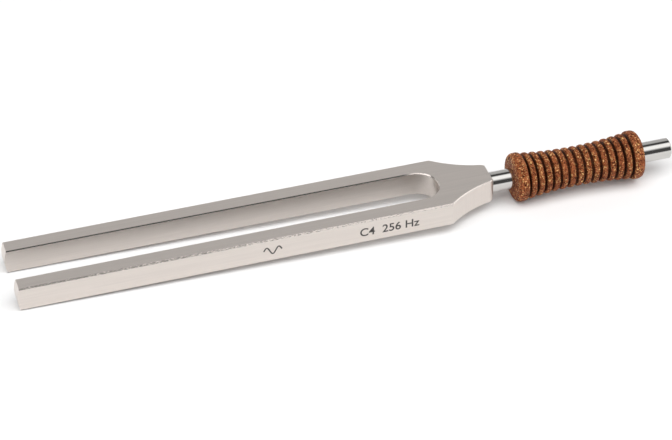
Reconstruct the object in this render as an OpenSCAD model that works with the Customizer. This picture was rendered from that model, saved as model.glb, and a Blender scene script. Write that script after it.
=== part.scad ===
// Tuning fork with two straight tines, a waisted heel, a round stem and a ridged hand grip.
// Millimetres. The stem's axis is X, the tines lie side by side along Y, and +Z is up through
// the flat faces. The origin is the centre of the stem's foot, and the tines point towards -X.

/* [Tines] */
// Thickness of the bar that the fork is cut from
bar_thickness = 8; // [6.8:0.1:12]
// Width over the outer faces of the two tines
fork_width = 23.5; // [18:0.1:32]
// Depth of the slot, from the tine ends to its round bottom
slot_depth = 132.2; // [80:0.1:200]
// Thickness of a tine where it leaves the yoke
tine_root = 5.35; // [3:0.05:7]
// Thickness of a tine at its free end
tine_tip = 5.1; // [3:0.05:7]
// Radius of the crowned ends of the tines and of the heel
crown_radius = 12; // [8:0.5:40]

/* [Yoke and heel] */
// Length of the yoke, from the bottom of the slot to the end of the heel
yoke_length = 17; // [13:0.1:30]
// Distance from the bottom of the slot to the shoulder where the flank starts
shoulder_lead = 0.8; // [0:0.1:2]
// Width of the heel at its end
heel_width = 8.4; // [7.4:0.1:16]
// Radius of the concave flank between the shoulder and the heel
flank_radius = 34.8; // [24:0.1:80]
// Radius of the rounded corners of the heel
heel_corner = 2.4; // [0.5:0.1:2.5]

/* [Edges] */
// Chamfer along the outer edges of the tines
outer_chamfer = 0.45; // [0.1:0.05:1]
// Chamfer along the edges of the flanks and round the corners of the heel
flank_chamfer = 0.25; // [0.1:0.05:0.4]
// Chamfer along the edges of the slot
slot_chamfer = 0.3; // [0.1:0.05:0.8]

/* [Stem rod] */
// Radius of the round rod
rod_radius = 3.2; // [3:0.05:3.7]
// Rod left bare beyond the grip, as far as the foot
foot_length = 10.3; // [3:0.1:60]
// Chamfer at the rod's foot
foot_chamfer = 0.4; // [0.1:0.05:1]
// Chamfer where the rod meets the heel
neck_chamfer = 0.35; // [0.1:0.05:1]
// Depth of the round seat in the heel that the rod stands in
seat_depth = 0.55; // [0.2:0.05:1.5]
// Gap all round between the rod and its seat
seat_clearance = 0.05; // [0.02:0.01:0.2]
// Depth of the shallow waist in the rod that keeps the grip from sliding
grip_waist_depth = 0.25; // [0.1:0.05:0.5]

/* [Joining stud] */
// Radius of the threaded stud, over its thread
stud_radius = 2; // [1.5:0.1:2.2]
// Length of the stud
stud_length = 16; // [8:0.5:24]
// Extra depth of each threaded hole past the stud's end
hole_runout = 1; // [0.5:0.1:3]
// Chamfer at both ends of the stud
stud_chamfer = 0.4; // [0.1:0.05:0.6]
// Width across the flats of the hexagon socket in the stud
socket_flats = 2; // [1.2:0.1:2.2]
// Depth of the hexagon socket
socket_depth = 2.2; // [1:0.1:4]

/* [Grip] */
// Rod left bare between the heel and the grip
grip_gap = 7; // [2:0.1:20]
// Number of thin rings between the two end rings
thin_rings = 13; // [5:1:15]
// Width of a thin ring
thin_ring_width = 1.77; // [1.2:0.01:2.4]
// Width of an end ring
end_ring_width = 3.4; // [2.6:0.05:5]
// Width of the groove between two rings
groove_width = 0.83; // [0.5:0.01:1.5]
// Radius of the end rings, the largest of the grip
end_ring_radius = 7.6; // [6.8:0.05:10]
// Radius of the rings at the waist, the smallest of the grip
waist_radius = 6.2; // [5.9:0.05:6.7]
// Radius of the core at the bottom of the grooves
core_radius = 4.9; // [4.2:0.05:5.8]
// Rounding of the crests of the rings
crest_rounding = 0.75; // [0.3:0.01:0.9]
// Rounding of the grip's two outside corners
corner_rounding = 1.5; // [0.8:0.1:2]
// Gap all round between the rod's waist and the grip's bore
bore_clearance = 0; // [0:0.01:0.05]

/* [Hidden] */
$fn = 96;
overlap = 1;
chamfer_lift = 0.05;

// Grip: the rings' crests follow one hollow arc from end ring to end ring
ring_pitch = thin_ring_width + groove_width;
grip_length = 2 * end_ring_width + thin_rings * ring_pitch + groove_width;
hollow_run = (grip_length - end_ring_width) / 2;
hollow_drop = end_ring_radius - waist_radius;
hollow_radius = (hollow_run * hollow_run + hollow_drop * hollow_drop) / (2 * hollow_drop);
function crest_radius(from_middle) =
    waist_radius + hollow_radius - sqrt(hollow_radius * hollow_radius - from_middle * from_middle);
function ring_from_middle(index) = (index - (thin_rings - 1) / 2) * ring_pitch;

// Roundings stay inside the rings that they round
crest_flat = 0.05;
crest_fillet = min(crest_rounding, (thin_ring_width - crest_flat) / 2);
corner_fillet = min(corner_rounding, end_ring_width - crest_fillet - crest_flat);

// The grip sits in a shallow waist of the rod
grip_seat_radius = rod_radius - grip_waist_depth;
bore_radius = grip_seat_radius + bore_clearance;

// Places along X, from the stem's foot at 0 to the tine ends
grip_x = -foot_length - grip_length;
grip_mid_x = grip_x + grip_length / 2;
heel_x = grip_x - grip_gap;
slot_bottom_x = heel_x - yoke_length;
tip_x = slot_bottom_x - slot_depth;
shoulder_x = slot_bottom_x + shoulder_lead;
body_length = slot_depth + yoke_length;
rod_start_x = heel_x - seat_depth;

// The slot widens from its round bottom to the tine ends
half_width = fork_width / 2;
slot_radius = half_width - tine_root;
slot_mouth = half_width - tine_tip;
slot_round_x = slot_bottom_x - slot_radius;
slot_angle = atan((slot_mouth - slot_radius) / (slot_round_x - tip_x));
half_thickness = bar_thickness / 2;

// Centre of the arc that makes a flank, from the shoulder to the corner of the heel
flank_run = heel_x - shoulder_x;
flank_drop = half_width - heel_width / 2;
flank_chord = sqrt(flank_run * flank_run + flank_drop * flank_drop);
flank_rise = sqrt(flank_radius * flank_radius - flank_chord * flank_chord / 4);
flank_x = (shoulder_x + heel_x) / 2 + flank_rise * flank_drop / flank_chord;
flank_y = (half_width + heel_width / 2) / 2 + flank_rise * flank_run / flank_chord;

// Centre of the arc that rounds a corner of the heel, touching the flank and the end
corner_x = heel_x - heel_corner;
corner_reach = flank_radius + heel_corner;
corner_y = flank_y - sqrt(corner_reach * corner_reach - (flank_x - corner_x) * (flank_x - corner_x));

// The stud lies half in the heel and half in the rod
stud_x = rod_start_x - stud_length / 2;
hole_depth = stud_length / 2 + hole_runout;
socket_radius = socket_flats / 2 / cos(30);

// A solid turned about the X axis from an outline drawn as (along X, out from the axis)
module turned() {
    rotate([90, 0, 90]) rotate_extrude() rotate(90) mirror([0, 1]) children();
}

// Both flat faces, or both sides, get the same cut
module on_both(direction) {
    children();
    mirror(direction) children();
}

// Outline of the fork seen from above, before its slot and flanks are cut
module blank_outline() {
    translate([tip_x, -half_width]) square([body_length, fork_width]);
}

// Round-bottomed slot, a little wider at its mouth
module slot_outline() {
    translate([slot_round_x, 0]) circle(r = slot_radius);
    polygon([
        [slot_round_x, slot_radius],
        [tip_x, slot_mouth],
        [tip_x - overlap, slot_mouth],
        [tip_x - overlap, -slot_mouth],
        [tip_x, -slot_mouth],
        [slot_round_x, -slot_radius]
    ]);
}

// What is cut away outside the rounded corner of the heel
module corner_outline() {
    difference() {
        polygon([
            [corner_x, corner_y],
            [corner_x + (flank_x - corner_x) * heel_corner / corner_reach,
             corner_y + (flank_y - corner_y) * heel_corner / corner_reach],
            [corner_x, half_width],
            [heel_x + overlap, half_width],
            [heel_x + overlap, corner_y]
        ]);
        translate([corner_x, corner_y]) circle(r = heel_corner);
    }
}

// Outline of the fork seen from above
module fork_outline() {
    difference() {
        blank_outline();
        slot_outline();
        on_both([0, 1]) translate([flank_x, flank_y]) circle(r = flank_radius);
        on_both([0, 1]) corner_outline();
    }
}

// Side view of the fork, whose two ends are crowned
module crowned_outline() {
    translate([tip_x + crown_radius, -half_thickness])
        square([body_length - 2 * crown_radius, bar_thickness]);
    intersection() {
        translate([tip_x + crown_radius, 0]) circle(r = crown_radius);
        translate([tip_x, -half_thickness]) square([crown_radius, bar_thickness]);
    }
    intersection() {
        translate([heel_x - crown_radius, 0]) circle(r = crown_radius);
        translate([heel_x - crown_radius, -half_thickness]) square([crown_radius, bar_thickness]);
    }
}

// Straight bar of square section set on its edge, which cuts a chamfer along X
module chamfer_bar(start_x, length, size) {
    side = size * sqrt(2);
    translate([start_x, 0, 0]) rotate([45, 0, 0]) translate([0, -side / 2, -side / 2])
        cube([length, side, side]);
}

// Chamfers along the straight outer edges of the tines
module outer_edge_cuts() {
    on_both([0, 0, 1]) on_both([0, 1, 0])
        translate([0, half_width, half_thickness])
            chamfer_bar(tip_x - overlap, shoulder_x - tip_x + 2 * overlap, outer_chamfer);
}

// Chamfers along the edges of the slot and round its bottom
module slot_edge_cuts() {
    on_both([0, 0, 1]) {
        on_both([0, 1, 0])
            translate([slot_round_x, slot_radius, half_thickness]) rotate(-slot_angle)
                chamfer_bar(tip_x - slot_round_x - overlap, slot_round_x - tip_x + overlap, slot_chamfer);
        translate([slot_round_x, 0, half_thickness - slot_chamfer])
            cylinder(h = slot_chamfer, r1 = slot_radius, r2 = slot_radius + slot_chamfer);
    }
}

// Chamfers along the curved edges of the flanks
module flank_edge_cuts() {
    on_both([0, 0, 1]) on_both([0, 1, 0])
        translate([flank_x, flank_y, half_thickness - flank_chamfer])
            cylinder(h = flank_chamfer, r1 = flank_radius, r2 = flank_radius + flank_chamfer);
}

// Chamfers round the corners of the heel, between the flank and the end
module corner_edge_cuts() {
    cut_height = flank_chamfer + chamfer_lift;
    on_both([0, 0, 1]) on_both([0, 1, 0])
        translate([corner_x, corner_y, half_thickness - flank_chamfer]) difference() {
            linear_extrude(cut_height) polygon([
                [0, 0],
                [heel_corner + overlap, 0],
                [heel_corner + overlap, heel_corner + overlap],
                [(flank_x - corner_x) / corner_reach * (heel_corner + overlap),
                 (flank_y - corner_y) / corner_reach * (heel_corner + overlap)]
            ]);
            cylinder(h = cut_height, r1 = heel_corner, r2 = heel_corner - cut_height);
        }
}

// The fork proper: two tines, yoke and heel cut from one bar
module fork_body() {
    color([0.80, 0.78, 0.76]) difference() {
        intersection() {
            translate([0, 0, -half_thickness]) linear_extrude(bar_thickness) fork_outline();
            translate([0, half_width, 0]) rotate([90, 0, 0]) linear_extrude(fork_width) crowned_outline();
        }
        outer_edge_cuts();
        slot_edge_cuts();
        flank_edge_cuts();
        corner_edge_cuts();
        translate([rod_start_x, 0, 0]) rotate([0, 90, 0])
            cylinder(h = seat_depth + overlap, r = rod_radius + seat_clearance);
        translate([rod_start_x - hole_depth, 0, 0]) rotate([0, 90, 0])
            cylinder(h = hole_depth + overlap, r = stud_radius);
    }
}

// Round polished rod, chamfered at both ends, with a blind threaded hole for the stud
// and a shallow waist that the grip sits in
module stem_rod() {
    color([0.85, 0.85, 0.86]) difference() {
        turned() polygon([
            [rod_start_x, 0],
            [rod_start_x, rod_radius - neck_chamfer],
            [rod_start_x + neck_chamfer, rod_radius],
            [grip_x, rod_radius],
            [grip_x, grip_seat_radius],
            [grip_x + grip_length, grip_seat_radius],
            [grip_x + grip_length, rod_radius],
            [-foot_chamfer, rod_radius],
            [0, rod_radius - foot_chamfer],
            [0, 0]
        ]);
        translate([rod_start_x - overlap, 0, 0]) rotate([0, 90, 0])
            cylinder(h = hole_depth + overlap, r = stud_radius);
    }
}

// Threaded stud with a hexagon socket, hidden in the heel and the rod
module joining_stud() {
    color([0.35, 0.35, 0.37]) difference() {
        turned() polygon([
            [stud_x, 0],
            [stud_x, stud_radius - stud_chamfer],
            [stud_x + stud_chamfer, stud_radius],
            [stud_x + stud_length - stud_chamfer, stud_radius],
            [stud_x + stud_length, stud_radius - stud_chamfer],
            [stud_x + stud_length, 0]
        ]);
        translate([stud_x + stud_length - socket_depth, 0, 0]) rotate([0, 90, 0])
            cylinder(h = socket_depth + overlap, r = socket_radius, $fn = 6);
    }
}

// Half section of one ring, centred along X, with its own rounding at each side of its crest
module ring_section(width, crest, left_fillet, right_fillet) {
    left = -width / 2;
    right = width / 2;
    translate([left, bore_radius]) square([left_fillet, crest - left_fillet - bore_radius]);
    translate([left + left_fillet, bore_radius])
        square([width - left_fillet - right_fillet, crest - bore_radius]);
    translate([right - right_fillet, bore_radius])
        square([right_fillet, crest - right_fillet - bore_radius]);
    translate([left + left_fillet, crest - left_fillet]) circle(r = left_fillet);
    translate([right - right_fillet, crest - right_fillet]) circle(r = right_fillet);
}

// Half section of the whole grip: a core tube with the rings on it
module grip_section() {
    translate([grip_x, bore_radius]) square([grip_length, core_radius - bore_radius]);
    translate([grip_x + end_ring_width / 2, 0])
        ring_section(end_ring_width, end_ring_radius, corner_fillet, crest_fillet);
    for (index = [0:thin_rings - 1])
        translate([grip_mid_x + ring_from_middle(index), 0])
            ring_section(thin_ring_width, crest_radius(ring_from_middle(index)), crest_fillet, crest_fillet);
    translate([grip_x + grip_length - end_ring_width / 2, 0])
        ring_section(end_ring_width, end_ring_radius, crest_fillet, corner_fillet);
}

// Ridged sleeve that sits tight on the rod
module grip() {
    color([0.53, 0.34, 0.22]) turned() grip_section();
}

fork_body();
stem_rod();
joining_stud();
grip();
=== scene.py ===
"""Tuning fork: brushed steel tines on a polished stem, with a ridged grip of cork and rubber granules.

Lengths are metres. The stem's axis is X with its foot at 0, the tines point towards -X and lie side
by side along Y, and +Z is up through the flat faces.
"""

import math

import bpy
from bpy.props import FloatProperty, FloatVectorProperty, IntProperty, PointerProperty
from bpy.types import Operator, Panel, PropertyGroup
from mathutils import Matrix, Vector, noise


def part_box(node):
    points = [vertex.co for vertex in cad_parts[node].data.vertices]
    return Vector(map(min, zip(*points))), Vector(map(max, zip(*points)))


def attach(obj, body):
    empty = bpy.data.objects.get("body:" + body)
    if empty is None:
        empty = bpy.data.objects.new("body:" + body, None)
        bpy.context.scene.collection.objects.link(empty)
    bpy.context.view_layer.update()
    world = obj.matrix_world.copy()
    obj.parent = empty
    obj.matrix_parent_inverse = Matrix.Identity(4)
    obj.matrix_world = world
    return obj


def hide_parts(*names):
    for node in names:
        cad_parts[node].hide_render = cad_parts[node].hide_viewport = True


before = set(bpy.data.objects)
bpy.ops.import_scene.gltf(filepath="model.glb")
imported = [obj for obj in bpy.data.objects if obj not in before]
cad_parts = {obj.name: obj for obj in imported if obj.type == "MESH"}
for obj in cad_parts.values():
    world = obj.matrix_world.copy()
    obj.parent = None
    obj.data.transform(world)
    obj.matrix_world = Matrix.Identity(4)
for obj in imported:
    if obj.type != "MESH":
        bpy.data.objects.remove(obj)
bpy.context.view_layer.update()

bl_info = {
    "name": "Tuning fork",
    "version": (1, 0, 0),
    "blender": (4, 5, 0),
    "location": "3D View > Sidebar > Tuning fork",
    "description": "A brushed tuning fork with a polished stem and a ridged grip",
    "category": "Add Mesh",
}

MM = 0.001
SENSOR_WIDTH = 36.0
CLIP_NEAR, CLIP_FAR = 0.01, 50.0
KEY_SIZE = (2.2, 1.6)
KEY_PLACE = (-0.1, -0.55, 1.1)
# Height of a capital of the built-in letters, as a share of their size
CAP_SHARE = 0.7
# Distances from the fork's middle between which the slot's edges end and the outer faces begin
SLOT_SIDE = (7.0 * MM, 7.2 * MM)
# Distances before the bottom of the slot between which its straight edges end
SLOT_BEND = (9 * MM, 5 * MM)
# Depths below the rings' crests between which painted shade darkens a groove
GROOVE_DARK = (0.3 * MM, 1.0 * MM)
BODY_LOW, BODY_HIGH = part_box("fork_body")
ROD_LOW, ROD_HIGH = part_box("stem_rod")
GRIP_LOW, GRIP_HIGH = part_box("grip")


# ---------------------------------------------------------------- settings

class BarSettings(PropertyGroup):
    """Finish of the brushed bar that the fork is cut from."""

    colour: FloatVectorProperty(
        name="Steel colour", description="Colour of the brushed steel",
        default=(0.72, 0.66, 0.615), subtype="COLOR", min=0, max=1)
    roughness: FloatProperty(
        name="Roughness", description="Mean roughness of the brushed faces", default=0.33, min=0, max=1)
    grain: FloatProperty(
        name="Grain width", description="Width of one brush line",
        default=0.12 * MM, unit="LENGTH", precision=5)
    grain_depth: FloatProperty(
        name="Grain depth", description="How deep the brush lines look",
        default=0.004 * MM, unit="LENGTH", precision=6)
    yoke: FloatProperty(
        name="Yoke", description="Distance from the end of the heel to the bottom of the slot",
        default=17.0 * MM, unit="LENGTH", precision=5)
    flank: FloatProperty(
        name="Flank", description="Distance from the end of the heel to the shoulder",
        default=16.2 * MM, unit="LENGTH", precision=5)


class RodSettings(PropertyGroup):
    """Shape and finish of the polished stem rod."""

    colour: FloatVectorProperty(
        name="Rod colour", description="Colour of the polished steel",
        default=(0.60, 0.585, 0.565), subtype="COLOR", min=0, max=1)
    roughness: FloatProperty(
        name="Roughness", description="Roughness of the polished rod", default=0.07, min=0, max=1)


class GripSettings(PropertyGroup):
    """Shape and finish of the ridged grip."""

    thin_rings: IntProperty(
        name="Thin rings", description="Thin rings between the two end rings", default=13, min=1)
    thin_ring_width: FloatProperty(
        name="Thin ring width", description="Width of a thin ring",
        default=1.77 * MM, unit="LENGTH", precision=5)
    end_ring_width: FloatProperty(
        name="End ring width", description="Width of an end ring",
        default=3.4 * MM, unit="LENGTH", precision=5)
    groove_width: FloatProperty(
        name="Groove width", description="Width of the groove between two rings",
        default=0.83 * MM, unit="LENGTH", precision=5)
    waist_radius: FloatProperty(
        name="Waist radius", description="Radius of the rings at the waist",
        default=6.2 * MM, unit="LENGTH", precision=5)
    core_radius: FloatProperty(
        name="Core radius", description="Radius at the bottom of the grooves",
        default=4.9 * MM, unit="LENGTH", precision=5)
    bore_radius: FloatProperty(
        name="Bore radius", description="Radius of the hole that the rod runs in",
        default=2.95 * MM, unit="LENGTH", precision=5)
    crest_rounding: FloatProperty(
        name="Crest rounding", description="Rounding of the rings' crests",
        default=0.75 * MM, unit="LENGTH", precision=5)
    corner_rounding: FloatProperty(
        name="Corner rounding", description="Rounding of the grip's two outside corners",
        default=1.5 * MM, unit="LENGTH", precision=5)
    granule: FloatProperty(
        name="Granule size", description="Size of one cork granule",
        default=0.5 * MM, unit="LENGTH", precision=5)
    pit_depth: FloatProperty(
        name="Pit depth", description="Depth of the gaps between granules",
        default=0.13 * MM, unit="LENGTH", precision=5)
    mesh_step: FloatProperty(
        name="Mesh step", description="Distance between neighbouring points of the grip's mesh",
        default=0.2 * MM, unit="LENGTH", precision=5)
    dark_colour: FloatVectorProperty(
        name="Rubber colour", description="Colour of the dark rubber binder",
        default=(0.075, 0.014, 0.004), subtype="COLOR", min=0, max=1)
    main_colour: FloatVectorProperty(
        name="Cork colour", description="Colour of most granules",
        default=(0.42, 0.118, 0.040), subtype="COLOR", min=0, max=1)
    fleck_colour: FloatVectorProperty(
        name="Fleck colour", description="Colour of the pale flecks",
        default=(1.0, 0.58, 0.22), subtype="COLOR", min=0, max=1)


class MarkSettings(PropertyGroup):
    """The pitch mark on the side of the near tine."""

    cap_height: FloatProperty(
        name="Letter height", description="Height of the mark's capital letters",
        default=2.8 * MM, unit="LENGTH", precision=5)
    end_gap: FloatProperty(
        name="Distance to heel", description="From the mark's end to the end of the heel",
        default=26.7 * MM, unit="LENGTH", precision=5)
    weight: FloatProperty(
        name="Extra weight", description="How far the letters' outlines are moved outwards",
        default=0.055 * MM, unit="LENGTH", precision=6)
    wave_gap: FloatProperty(
        name="Wave to heel", description="From the wave's end to the end of the heel",
        default=69.6 * MM, unit="LENGTH", precision=5)
    wave_length: FloatProperty(
        name="Wave length", description="Length of the wave sign",
        default=5.6 * MM, unit="LENGTH", precision=5)
    relief: FloatProperty(
        name="Film", description="Thickness of the dark marking on the steel",
        default=0.006 * MM, unit="LENGTH", precision=6)
    colour: FloatVectorProperty(
        name="Mark colour", description="Colour of the laser marking",
        default=(0.085, 0.078, 0.074), subtype="COLOR", min=0, max=1)


class StageSettings(PropertyGroup):
    """Camera, floor and studio light."""

    aim: FloatVectorProperty(
        name="Aim", description="Point that the camera looks at",
        default=(-109.1 * MM, -3.5 * MM, 0), unit="LENGTH", precision=5)
    azimuth: FloatProperty(
        name="Azimuth", description="Turn of the camera about Z",
        default=math.radians(17.07), subtype="ANGLE")
    elevation: FloatProperty(
        name="Elevation", description="Height of the camera above the fork's plane",
        default=math.radians(37.75), subtype="ANGLE")
    roll: FloatProperty(
        name="Roll", description="Turn of the camera about its own axis",
        default=math.radians(0.46), subtype="ANGLE")
    distance: FloatProperty(
        name="Distance", description="Distance from the camera to its aim",
        default=792.8 * MM, unit="LENGTH")
    lens: FloatProperty(name="Lens", description="Focal length in millimetres", default=141.7)
    floor_size: FloatProperty(
        name="Floor size", description="Width of the square floor", default=3.0, unit="LENGTH")
    floor_colour: FloatVectorProperty(
        name="Floor colour", description="Colour of the paper floor",
        default=(0.95, 0.95, 0.95), subtype="COLOR", min=0, max=1)
    key_power: FloatProperty(
        name="Key light", description="Power of the large soft light in watts", default=13.0)


# ---------------------------------------------------------------- helpers

def settings():
    return bpy.context.scene.tuning_fork


def add_node(tree, kind, inputs=None, **own):
    """One shader node. own are its properties, inputs its sockets' values or the sockets that feed them."""
    made = tree.nodes.new(kind)
    for name, value in own.items():
        setattr(made, name, value)
    for name, value in (inputs or {}).items():
        socket = made.inputs[name]
        if isinstance(value, bpy.types.NodeSocket):
            tree.links.new(value, socket)
        else:
            socket.default_value = value
    return made


def math_node(tree, operation, first, second=0.0, clamp=False):
    """The result of one calculation on numbers or sockets."""
    made = add_node(tree, "ShaderNodeMath", {0: first, 1: second}, operation=operation, use_clamp=clamp)
    return made.outputs[0]


def smooth_step(tree, value, low, high):
    """0 below low, 1 above high, and smooth between."""
    made = add_node(
        tree, "ShaderNodeMapRange",
        {"Value": value, "From Min": low, "From Max": high},
        interpolation_type="SMOOTHSTEP")
    return made.outputs["Result"]


def fade_out(tree, value, low, high):
    """1 below low, 0 above high, and smooth between."""
    return math_node(tree, "SUBTRACT", 1.0, smooth_step(tree, value, low, high))


def spread(tree, value, low, high):
    """Maps 0 to 1 onto low to high."""
    made = add_node(tree, "ShaderNodeMapRange", {"Value": value, "To Min": low, "To Max": high})
    return made.outputs["Result"]


def mix_colour(tree, share, first, second, blend="MIX"):
    made = add_node(
        tree, "ShaderNodeMix", {"Factor": share}, data_type="RGBA", blend_type=blend, clamp_factor=True)
    for socket, value in ((made.inputs[6], first), (made.inputs[7], second)):
        if isinstance(value, bpy.types.NodeSocket):
            tree.links.new(value, socket)
        else:
            socket.default_value = (*value, 1.0)
    return made.outputs[2]


def mix_number(tree, share, first, second):
    made = add_node(tree, "ShaderNodeMix", {"Factor": share}, data_type="FLOAT", clamp_factor=True)
    for socket, value in ((made.inputs[2], first), (made.inputs[3], second)):
        if isinstance(value, bpy.types.NodeSocket):
            tree.links.new(value, socket)
        else:
            socket.default_value = value
    return made.outputs[0]


def colour_ramp(tree, value, stops, interpolation="LINEAR"):
    """A colour for each number from 0 to 1. stops are (position, colour)."""
    made = add_node(tree, "ShaderNodeValToRGB", {"Fac": value})
    ramp = made.color_ramp
    ramp.interpolation = interpolation
    while len(ramp.elements) < len(stops):
        ramp.elements.new(1.0)
    for element, (position, colour) in zip(ramp.elements, stops):
        element.position = position
        element.color = (*colour, 1.0)
    return made.outputs["Color"]


def grey(tree, level):
    """The grey of one brightness."""
    made = add_node(tree, "ShaderNodeCombineColor", {"Red": level, "Green": level, "Blue": level})
    return made.outputs[0]


def tinted(colour, factors):
    """A colour with its red, green and blue each multiplied by their own factor."""
    return tuple(part * factor for part, factor in zip(colour, factors))


def darkened(colour, factor):
    return tinted(colour, (factor,) * 3)


def own_place(tree):
    """Position on the object in metres."""
    return add_node(tree, "ShaderNodeTexCoord").outputs["Object"]


def own_axes(tree):
    """Position on the object as separate X, Y and Z."""
    return add_node(tree, "ShaderNodeSeparateXYZ", {0: own_place(tree)}).outputs


def scaled_place(tree, per_metre):
    """Position on the object, times so many units to the metre along X, Y and Z."""
    made = add_node(tree, "ShaderNodeVectorMath", {0: own_place(tree), 1: per_metre}, operation="MULTIPLY")
    return made.outputs[0]


def noise_at(tree, place, scale=1.0, detail=2.0, roughness=0.5):
    made = add_node(
        tree, "ShaderNodeTexNoise",
        {"Vector": place, "Scale": scale, "Detail": detail, "Roughness": roughness})
    return made.outputs["Fac"]


def bump(tree, height, distance, strength=1.0, normal=None):
    inputs = {"Height": height, "Distance": distance, "Strength": strength}
    if normal is not None:
        inputs["Normal"] = normal
    return add_node(tree, "ShaderNodeBump", inputs).outputs["Normal"]


def new_material(name):
    """An empty material with its principled shader. Returns (material, tree, shader)."""
    material = bpy.data.materials.new(name)
    material.use_nodes = True
    tree = material.node_tree
    return material, tree, tree.nodes["Principled BSDF"]


def give_material(obj, material):
    obj.data.materials.clear()
    obj.data.materials.append(material)


def mesh_piece(name, verts, faces, smooth=True):
    """A new mesh object in the scene."""
    mesh = bpy.data.meshes.new(name)
    mesh.from_pydata(verts, [], faces)
    mesh.update()
    mesh.polygons.foreach_set("use_smooth", [smooth] * len(mesh.polygons))
    obj = bpy.data.objects.new(name, mesh)
    bpy.context.scene.collection.objects.link(obj)
    return obj


def resample(outline, step):
    """The outline with no stretch longer than step. Its own points stay."""
    made = [outline[0]]
    for (x0, r0), (x1, r1) in zip(outline, outline[1:]):
        parts = max(1, math.ceil(math.hypot(x1 - x0, r1 - r0) / step))
        made += [(x0 + (x1 - x0) * i / parts, r0 + (r1 - r0) * i / parts) for i in range(1, parts + 1)]
    return made


def arc(centre, radius, start, end, parts=6):
    """Points (along X, out from the axis) on an arc, angles in degrees from +X towards outwards."""
    turns = (math.radians(start + (end - start) * i / parts) for i in range(parts + 1))
    return [(centre[0] + radius * math.cos(t), centre[1] + radius * math.sin(t)) for t in turns]


def turned_mesh(name, outline, around, closed=False, shift=None):
    """A mesh turned about X from an outline of (along X, out from the axis).

    A closed outline joins its last point to its first, and an open one ends on the axis at both ends.
    shift(point) gives how far a point moves out from the axis.
    """
    inner = outline if closed else outline[1:-1]
    verts, faces = [], []
    for x, r in inner:
        for i in range(around):
            turn = 2 * math.pi * i / around
            out = Vector((0, math.cos(turn), math.sin(turn)))
            point = Vector((x, 0, 0)) + out * r
            if shift:
                point += out * shift(point)
            verts.append(point)
    rows = len(inner)
    for row in range(rows if closed else rows - 1):
        a, b = row * around, (row + 1) % rows * around
        for i in range(around):
            j = (i + 1) % around
            faces.append((a + i, b + i, b + j, a + j))
    if not closed:
        first, last = len(verts), len(verts) + 1
        verts += [Vector((outline[0][0], 0, 0)), Vector((outline[-1][0], 0, 0))]
        end = (rows - 1) * around
        for i in range(around):
            j = (i + 1) % around
            faces.append((first, i, j))
            faces.append((last, end + j, end + i))
    return mesh_piece(name, verts, faces)


# ---------------------------------------------------------------- materials

def steel_areas(tree, bar):
    """Where each finish of the bar lies, and where painted shade goes, as shares from 0 to 1.

    Returns the upright walls, the chamfers, the side of the slot, the straight part of its edges and
    the part past the shoulder, and then the place along X.
    """
    where = own_axes(tree)
    facing = add_node(tree, "ShaderNodeNewGeometry").outputs["True Normal"]
    tilt = math_node(tree, "ABSOLUTE", add_node(tree, "ShaderNodeSeparateXYZ", {0: facing}).outputs["Z"])
    upright = fade_out(tree, tilt, 0.3, 0.5)
    edge = math_node(tree, "MULTIPLY", smooth_step(tree, tilt, 0.5, 0.6), fade_out(tree, tilt, 0.8, 0.9))
    along = where["X"]
    slot_end = BODY_HIGH.x - bar.yoke
    shoulder = BODY_HIGH.x - bar.flank
    slot = math_node(
        tree, "MULTIPLY", fade_out(tree, math_node(tree, "ABSOLUTE", where["Y"]), *SLOT_SIDE),
        fade_out(tree, along, slot_end, slot_end + 1 * MM))
    straight = fade_out(tree, along, slot_end - SLOT_BEND[0], slot_end - SLOT_BEND[1])
    past_shoulder = smooth_step(tree, along, shoulder, shoulder + 0.3 * MM)
    return upright, edge, slot, straight, past_shoulder, along


def chamfer_specks_and_painted_light(tree, bar, painted_slot_edge_shade, along):
    """Brightness of a raw chamfer: specks, with painted highlights that turn more of them bright towards the
    yoke, and painted shade along the slot's straight edges.
    """
    speck = noise_at(tree, scaled_place(tree, (2600.0, 5200.0, 5200.0)), detail=1.0)
    # Painted highlight: towards the yoke more specks turn bright, and the brightest reach 1.15 times the
    # steel colour.
    share = smooth_step(tree, along, BODY_LOW.x, BODY_HIGH.x - bar.yoke)
    cut = math_node(tree, "SUBTRACT", 0.62, math_node(tree, "MULTIPLY", share, 0.24))
    bright = smooth_step(tree, math_node(tree, "SUBTRACT", speck, cut), -0.05, 0.05)
    # Painted shade: along the slot's straight edges the chamfer is made dark.
    return mix_number(tree, painted_slot_edge_shade, spread(tree, bright, 0.42, 1.15), 0.16)


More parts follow.
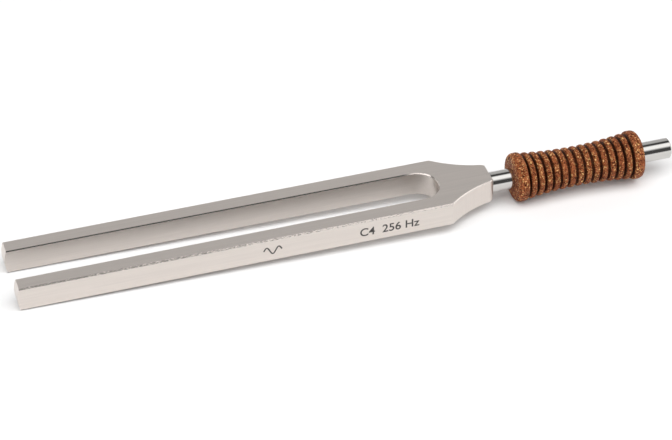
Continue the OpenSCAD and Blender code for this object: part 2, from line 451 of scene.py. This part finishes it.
def brushed_steel(bar):
    """Satin steel: brush lines along the bar, milling lines across the flanks, raw speckled edges with
    painted highlights, and painted shade on the slot's walls and edges.
    """
    material, tree, shader = new_material("brushed steel")
    fine = 1 / bar.grain
    coarse = fine * 0.22
    milled = fine * 0.25
    hair = noise_at(tree, scaled_place(tree, (60.0, fine, fine)), detail=3.0, roughness=0.6)
    streak = noise_at(tree, scaled_place(tree, (40.0, coarse, coarse)), detail=3.0, roughness=0.7)
    mill = noise_at(tree, scaled_place(tree, (milled, milled, 40.0)), detail=3.0, roughness=0.7)
    cloud = noise_at(tree, scaled_place(tree, (40.0, 160.0, 160.0)), detail=3.0)
    upright, edge, slot, straight, past_shoulder, along = steel_areas(tree, bar)

    lines = mix_number(tree, math_node(tree, "MULTIPLY", upright, past_shoulder), streak, mill)
    shade = math_node(tree, "ADD", spread(tree, lines, 0.90, 1.06), spread(tree, cloud, -0.03, 0.03))
    shade = math_node(tree, "MULTIPLY", shade, spread(tree, hair, 0.96, 1.04))
    # Painted shade: the colour of the slot's inner upright walls is darkened.
    painted_wall_shade = math_node(tree, "MULTIPLY", slot, upright)
    shade = math_node(tree, "MULTIPLY", shade, spread(tree, painted_wall_shade, 1.0, 0.86))
    # The chamfers take painted highlights and, along the slot's straight edges, painted shade.
    raw = math_node(tree, "MULTIPLY", edge, math_node(tree, "SUBTRACT", 1.0, past_shoulder))
    painted_slot_edge_shade = math_node(tree, "MULTIPLY", slot, straight)
    shade = mix_number(tree, raw, shade, chamfer_specks_and_painted_light(tree, bar, painted_slot_edge_shade, along))
    colour = mix_colour(tree, 1.0, bar.colour, grey(tree, shade), "MULTIPLY")
    tree.links.new(colour, shader.inputs["Base Color"])

    rough = math_node(
        tree, "ADD", spread(tree, lines, bar.roughness + 0.06, bar.roughness - 0.06),
        spread(tree, cloud, -0.03, 0.03))
    tree.links.new(mix_number(tree, edge, rough, 0.22), shader.inputs["Roughness"])
    shader.inputs["Metallic"].default_value = 1.0
    normal = bump(tree, lines, bar.grain_depth * 3)
    tree.links.new(bump(tree, hair, bar.grain_depth, normal=normal), shader.inputs["Normal"])
    return material


def polished_steel(rod):
    """Mirror-polished rod with faint turning lines and hairline wear."""
    material, tree, shader = new_material("polished steel")
    rings = noise_at(tree, scaled_place(tree, (9000.0, 120.0, 120.0)), detail=2.0)
    smear = noise_at(tree, scaled_place(tree, (140.0, 400.0, 400.0)), detail=4.0)
    rough = spread(tree, smear, rod.roughness - 0.03, rod.roughness + 0.05)
    tree.links.new(rough, shader.inputs["Roughness"])
    colour = mix_colour(tree, 1.0, rod.colour, grey(tree, spread(tree, smear, 0.96, 1.03)), "MULTIPLY")
    tree.links.new(colour, shader.inputs["Base Color"])
    shader.inputs["Metallic"].default_value = 1.0
    tree.links.new(bump(tree, rings, 0.0006 * MM), shader.inputs["Normal"])
    return material


def screw_steel():
    """Dark oiled steel with the look of a fine thread."""
    material, tree, shader = new_material("screw steel")
    pitch = 0.7 * MM
    depth = 0.2 * MM
    where = own_axes(tree)
    turn = math_node(tree, "ARCTAN2", where["Z"], where["Y"])
    run = math_node(tree, "MULTIPLY", where["X"], 2 * math.pi / pitch)
    thread = math_node(tree, "SINE", math_node(tree, "ADD", run, turn))
    oil = noise_at(tree, scaled_place(tree, (900.0, 900.0, 900.0)), detail=3.0)
    tree.links.new(spread(tree, oil, 0.25, 0.45), shader.inputs["Roughness"])
    tree.links.new(
        mix_colour(tree, oil, (0.05, 0.05, 0.055), (0.10, 0.10, 0.105)), shader.inputs["Base Color"])
    shader.inputs["Metallic"].default_value = 1.0
    tree.links.new(bump(tree, thread, depth), shader.inputs["Normal"])
    return material


def cork_rubber(grip):
    """Moulded cork and rubber: brown granules in a dark binder, with golden flecks and painted shade deep in
    the grooves.
    """
    material, tree, shader = new_material("cork rubber")
    per_metre = 1 / grip.granule
    place = own_place(tree)
    wobble = add_node(tree, "ShaderNodeTexNoise", {"Vector": place, "Scale": per_metre * 1.3, "Detail": 2.0})
    bent = add_node(
        tree, "ShaderNodeVectorMath",
        {0: wobble.outputs["Color"], 1: (grip.granule * 0.9,) * 3, 2: place}, operation="MULTIPLY_ADD")

    def cells(scale, feature="F1"):
        inputs = {"Vector": bent.outputs[0], "Scale": scale}
        return add_node(tree, "ShaderNodeTexVoronoi", inputs, feature=feature).outputs

    large = cells(per_metre)
    small = cells(per_metre * 1.7)
    gap = cells(per_metre, "DISTANCE_TO_EDGE")["Distance"]
    pick = add_node(tree, "ShaderNodeSeparateColor", {0: large["Color"]}).outputs
    small_pick = add_node(tree, "ShaderNodeSeparateColor", {0: small["Color"]}).outputs

    dark, main, fleck = grip.dark_colour, grip.main_colour, grip.fleck_colour
    rust = darkened(main, 0.62)
    tan = tinted(main, (1.25, 1.5, 1.75))
    amber = tinted(fleck, (0.62, 0.42, 0.45))
    granules = colour_ramp(tree, pick[0], (
        (0.0, dark), (0.12, rust), (0.34, main), (0.66, tan), (0.86, amber), (0.93, fleck)), "CONSTANT")
    crumbs = colour_ramp(tree, small_pick[0], (
        (0.0, dark), (0.22, rust), (0.46, main), (0.74, tan), (0.88, fleck)), "CONSTANT")
    colour = mix_colour(tree, smooth_step(tree, small_pick[1], 0.55, 0.65), granules, crumbs)
    seam = fade_out(tree, gap, 0.0, 0.14)
    colour = mix_colour(tree, math_node(tree, "MULTIPLY", seam, 0.7), colour, dark)
    # Painted shade: deep in the grooves the colour turns darker than the binder.
    shadow = math_node(tree, "MULTIPLY", groove_share(tree, grip), 0.86)
    colour = mix_colour(tree, shadow, colour, darkened(dark, 0.5))
    tree.links.new(colour, shader.inputs["Base Color"])

    glint = smooth_step(tree, small_pick[0], 0.86, 0.9)
    tree.links.new(mix_number(tree, glint, 0.6, 0.34), shader.inputs["Roughness"])
    shader.inputs["Specular IOR Level"].default_value = 0.16
    height = math_node(tree, "ADD", math_node(tree, "MULTIPLY", seam, -0.8), pick[2])
    lumps = bump(tree, height, 0.16 * MM, 0.9)
    crust = noise_at(tree, place, per_metre * 4, 3.0)
    tree.links.new(bump(tree, crust, 0.05 * MM, 0.6, lumps), shader.inputs["Normal"])
    return material


def groove_share(tree, grip):
    """1 deep in a groove between two rings, and 0 on the rings' crests and the grip's two ends."""
    middle = (GRIP_LOW.x + GRIP_HIGH.x) / 2
    run = (GRIP_HIGH.x - GRIP_LOW.x - grip.end_ring_width) / 2
    drop = GRIP_HIGH.z - grip.waist_radius
    where = own_axes(tree)
    out = math_node(tree, "SQRT", math_node(
        tree, "ADD", math_node(tree, "POWER", where["Y"], 2.0), math_node(tree, "POWER", where["Z"], 2.0)))
    along = math_node(tree, "ABSOLUTE", math_node(tree, "SUBTRACT", where["X"], middle))
    rise = math_node(tree, "MULTIPLY", math_node(tree, "POWER", along, 2.0), drop / (run * run))
    crest = math_node(tree, "ADD", rise, grip.waist_radius)
    deep = smooth_step(tree, math_node(tree, "SUBTRACT", crest, out), *GROOVE_DARK)
    inside = fade_out(tree, along, run - 0.2 * MM, run + 0.2 * MM)
    return math_node(tree, "MULTIPLY", deep, inside)


def laser_mark(mark):
    """Dull dark grey of laser-marked steel."""
    material, tree, shader = new_material("laser mark")
    dots = noise_at(tree, scaled_place(tree, (5000.0, 5000.0, 5000.0)), detail=2.0)
    tree.links.new(
        mix_colour(tree, dots, darkened(mark.colour, 0.7), mark.colour), shader.inputs["Base Color"])
    tree.links.new(spread(tree, dots, 0.55, 0.8), shader.inputs["Roughness"])
    shader.inputs["Metallic"].default_value = 0.3
    return material


def floor_paper(stage):
    """Matt white paper with the faintest tooth."""
    material, tree, shader = new_material("floor paper")
    tooth = noise_at(tree, scaled_place(tree, (700.0, 700.0, 700.0)), detail=3.0)
    soft = darkened(stage.floor_colour, 0.995)
    tree.links.new(mix_colour(tree, tooth, soft, stage.floor_colour), shader.inputs["Base Color"])
    shader.inputs["Roughness"].default_value = 0.9
    shader.inputs["Specular IOR Level"].default_value = 0.0
    return material


# ---------------------------------------------------------------- pieces

def grip_outline(grip):
    """The grip's half section, as (along X, out from the axis), from its bore round its outside."""
    low, high = GRIP_LOW.x, GRIP_HIGH.x
    middle = (low + high) / 2
    end_radius = GRIP_HIGH.z
    pitch = grip.thin_ring_width + grip.groove_width
    run = (high - low - grip.end_ring_width) / 2
    drop = end_radius - grip.waist_radius
    hollow = (run * run + drop * drop) / (2 * drop)
    crest, corner = grip.crest_rounding, grip.corner_rounding

    def ring(left, right, radius, left_round, right_round):
        points = [(left, grip.core_radius)]
        points += arc((left + left_round, radius - left_round), left_round, 180, 90)
        points += arc((right - right_round, radius - right_round), right_round, 90, 0)
        return points + [(right, grip.core_radius)]

    outline = [(low, grip.bore_radius)]
    outline += ring(low, low + grip.end_ring_width, end_radius, corner, crest)
    for index in range(grip.thin_rings):
        offset = (index - (grip.thin_rings - 1) / 2) * pitch
        radius = grip.waist_radius + hollow - math.sqrt(hollow * hollow - offset * offset)
        half = grip.thin_ring_width / 2
        outline += ring(middle + offset - half, middle + offset + half, radius, crest, crest)
    outline += ring(high - grip.end_ring_width, high, end_radius, crest, corner)
    outline.append((high, grip.bore_radius))
    return outline


def granule_pits(grip):
    """How far a point of the grip sinks between its granules, which is never outwards."""
    seam_width = 0.25
    seam_share = 0.55
    lump_size = grip.granule * 1.7
    bore_margin = 0.2 * MM

    def sink(point):
        if math.hypot(point.y, point.z) < grip.bore_radius + bore_margin:
            return 0.0
        distances, _ = noise.voronoi(point / grip.granule)
        seam = max(0.0, 1 - (distances[1] - distances[0]) / seam_width)
        lump = 0.5 + 0.5 * noise.noise(point / lump_size)
        return -grip.pit_depth * (seam_share * seam + (1 - seam_share) * lump)

    return sink


class TUNINGFORK_OT_stage(Operator):
    """Set up the camera, the paper floor and the soft studio light"""

    bl_idname = "tuning_fork.stage"
    bl_label = "Stage"

    def execute(self, context):
        stage = settings().stage
        self.add_camera(context, stage)
        self.add_floor(stage)
        self.add_sky(context)
        self.add_key_light(context, stage)
        context.scene.view_settings.view_transform = "Standard"
        return {"FINISHED"}

    def add_camera(self, context, stage):
        data = bpy.data.cameras.new("camera")
        data.lens = stage.lens
        data.sensor_width = SENSOR_WIDTH
        data.clip_start = CLIP_NEAR
        data.clip_end = CLIP_FAR
        camera = bpy.data.objects.new("camera", data)
        context.scene.collection.objects.link(camera)
        flat = math.cos(stage.elevation)
        forward = Vector((
            math.sin(stage.azimuth) * flat, math.cos(stage.azimuth) * flat, -math.sin(stage.elevation)))
        camera.rotation_mode = "QUATERNION"
        camera.rotation_quaternion = (
            forward.to_track_quat("-Z", "Y") @ Matrix.Rotation(-stage.roll, 3, "Z").to_quaternion())
        camera.location = Vector(stage.aim) - forward * stage.distance
        context.scene.camera = camera

    def add_floor(self, stage):
        """The floor touches the tips' lower edges and the first ring of the grip, as a table would."""
        grip = settings().grip
        tip = Vector((BODY_LOW.x, 0, BODY_LOW.z))
        ring = Vector((GRIP_LOW.x + grip.end_ring_width / 2, 0, GRIP_LOW.z))
        slope = (ring.z - tip.z) / (ring.x - tip.x)
        half = stage.floor_size / 2
        corners = [
            (x, y, tip.z + (x - tip.x) * slope)
            for x, y in ((-half, -half), (half, -half), (half, half), (-half, half))]
        floor = mesh_piece("floor", corners, [(0, 1, 2, 3)], smooth=False)
        give_material(floor, floor_paper(stage))

    def add_sky(self, context):
        """A studio of long light strips and dark gaps that run along the fork.

        Each strip is (angle from the front horizon over the top to the back horizon, brightness).
        """
        strips = (
            (0, 0.9), (2, 0.8), (6, 0.1), (38, 0.08), (50, 0.8), (58, 1.5), (88, 1.5),
            (96, 0.5), (101, 0.07), (119, 0.07), (129, 0.62), (180, 0.66))
        world = bpy.data.worlds.new("studio")
        world.use_nodes = True
        tree = world.node_tree
        tree.nodes.clear()
        ray = add_node(tree, "ShaderNodeTexCoord").outputs["Generated"]
        way = add_node(tree, "ShaderNodeSeparateXYZ", {0: ray})
        back = math_node(tree, "MULTIPLY", way.outputs["Y"], -1.0)
        turn = math_node(tree, "ARCTAN2", way.outputs["Z"], back)
        share = math_node(tree, "DIVIDE", turn, math.pi, clamp=True)
        brightest = max(level for _, level in strips)
        sky = colour_ramp(tree, share, [
            (angle / 180, (level / brightest,) * 3) for angle, level in strips])
        background = add_node(tree, "ShaderNodeBackground", {"Color": sky, "Strength": brightest})
        output = add_node(tree, "ShaderNodeOutputWorld")
        tree.links.new(background.outputs[0], output.inputs["Surface"])
        context.scene.world = world

    def add_key_light(self, context, stage):
        """A large soft light over the fork, which polished metal doesn't mirror."""
        data = bpy.data.lights.new("key light", "AREA")
        data.shape = "RECTANGLE"
        data.size, data.size_y = KEY_SIZE
        data.energy = stage.key_power
        key = bpy.data.objects.new("key light", data)
        context.scene.collection.objects.link(key)
        key.location = Vector(KEY_PLACE)
        key.rotation_mode = "QUATERNION"
        key.rotation_quaternion = (Vector(stage.aim) - key.location).to_track_quat("-Z", "Y")
        key.visible_glossy = False


class TUNINGFORK_OT_fork_body(Operator):
    """Give the tines, yoke and heel their brushed steel"""

    bl_idname = "tuning_fork.fork_body"
    bl_label = "Fork body"

    def execute(self, context):
        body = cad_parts["fork_body"]
        give_material(body, brushed_steel(settings().bar))
        return {"FINISHED"}


class TUNINGFORK_OT_stem(Operator):
    """Give the stem rod its mirror polish and the hidden stud its screw steel"""

    bl_idname = "tuning_fork.stem"
    bl_label = "Stem rod and stud"

    def execute(self, context):
        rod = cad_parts["stem_rod"]
        give_material(rod, polished_steel(settings().rod))
        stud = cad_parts["joining_stud"]
        give_material(stud, screw_steel())
        return {"FINISHED"}


class TUNINGFORK_OT_grip(Operator):
    """Make the ridged grip with its granular surface"""

    bl_idname = "tuning_fork.grip"
    bl_label = "Grip"

    def execute(self, context):
        grip = settings().grip
        outline = resample(grip_outline(grip), grip.mesh_step)
        around = round(2 * math.pi * GRIP_HIGH.z / grip.mesh_step)
        sleeve = turned_mesh("grip_sleeve", outline, around, closed=True, shift=granule_pits(grip))
        give_material(sleeve, cork_rubber(grip))
        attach(sleeve, "root")
        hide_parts("grip")
        return {"FINISHED"}


class TUNINGFORK_OT_pitch_mark(Operator):
    """Mark the side of the near tine with its pitch and a plain wave sign"""

    bl_idname = "tuning_fork.pitch_mark"
    bl_label = "Pitch mark"

    def execute(self, context):
        mark = settings().mark
        material = laser_mark(mark)
        for piece in (self.lettering(context, mark), self.wave(mark)):
            give_material(piece, material)
            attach(piece, "root")
        return {"FINISHED"}

    def lettering(self, context, mark):
        """The pitch in plain letters, standing upright on the near side face."""
        words = bpy.data.curves.new("pitch", "FONT")
        words.body = "C4  256 Hz"
        words.size = mark.cap_height / CAP_SHARE
        words.align_x = "RIGHT"
        words.offset = mark.weight
        maker = bpy.data.objects.new("pitch_maker", words)
        context.scene.collection.objects.link(maker)
        context.view_layer.update()
        mesh = bpy.data.meshes.new_from_object(maker.evaluated_get(context.evaluated_depsgraph_get()))
        bpy.data.objects.remove(maker)
        piece = bpy.data.objects.new("pitch_mark", mesh)
        context.scene.collection.objects.link(piece)
        upright = Matrix.Rotation(math.pi / 2, 4, "X")
        place = Matrix.Translation((
            BODY_HIGH.x - mark.end_gap, BODY_LOW.y - mark.relief, -mark.cap_height / 2))
        mesh.transform(place @ upright)
        return piece

    def wave(self, mark):
        """One and a half waves drawn as a flat ribbon."""
        end = BODY_HIGH.x - mark.wave_gap
        start = end - mark.wave_length
        swing = mark.cap_height * 0.42
        half_line = 0.22 * MM
        half_waves = 3
        parts = 60
        verts, faces = [], []
        for i in range(parts + 1):
            share = i / parts
            phase = half_waves * math.pi * share
            slope = swing * math.cos(phase) * half_waves * math.pi / mark.wave_length
            aside = Vector((-slope, 0, 1)).normalized() * half_line
            centre = Vector((
                start + mark.wave_length * share, BODY_LOW.y - mark.relief, swing * math.sin(phase)))
            verts += [centre - aside, centre + aside]
            if i:
                faces.append((2 * i - 2, 2 * i, 2 * i + 1, 2 * i - 1))
        return mesh_piece("wave_mark", verts, faces, smooth=False)


class TUNINGFORK_PT_panel(Panel):
    """Lists the fork's settings and the buttons that make it."""

    bl_idname = "TUNINGFORK_PT_panel"
    bl_label = "Tuning fork"
    bl_space_type = "VIEW_3D"
    bl_region_type = "UI"
    bl_category = "Tuning fork"

    def draw(self, context):
        chosen = settings()
        for name, group in (("Bar", chosen.bar), ("Rod", chosen.rod), ("Grip", chosen.grip),
                            ("Mark", chosen.mark), ("Stage", chosen.stage)):
            box = self.layout.box()
            box.label(text=name)
            for field in group.bl_rna.properties:
                if not field.is_readonly and field.identifier != "name":
                    box.prop(group, field.identifier)
        for operator in OPERATORS:
            self.layout.operator(operator.bl_idname)


class ForkSettings(PropertyGroup):
    """All the settings of the fork."""

    bar: PointerProperty(type=BarSettings)
    rod: PointerProperty(type=RodSettings)
    grip: PointerProperty(type=GripSettings)
    mark: PointerProperty(type=MarkSettings)
    stage: PointerProperty(type=StageSettings)


GROUPS = (BarSettings, RodSettings, GripSettings, MarkSettings, StageSettings, ForkSettings)
OPERATORS = (
    TUNINGFORK_OT_stage, TUNINGFORK_OT_fork_body, TUNINGFORK_OT_stem, TUNINGFORK_OT_grip,
    TUNINGFORK_OT_pitch_mark)
CLASSES = (*GROUPS, *OPERATORS, TUNINGFORK_PT_panel)


def register():
    for made in CLASSES:
        bpy.utils.register_class(made)
    bpy.types.Scene.tuning_fork = PointerProperty(type=ForkSettings)


def unregister():
    del bpy.types.Scene.tuning_fork
    for made in reversed(CLASSES):
        bpy.utils.unregister_class(made)


def write_sizes():
    """Updates the view layer."""
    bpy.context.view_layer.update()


def main():
    register()
    bpy.ops.tuning_fork.stage()
    bpy.ops.tuning_fork.fork_body()
    bpy.ops.tuning_fork.stem()
    bpy.ops.tuning_fork.grip()
    bpy.ops.tuning_fork.pitch_mark()
    write_sizes()


if __name__ == "__main__":
    main()
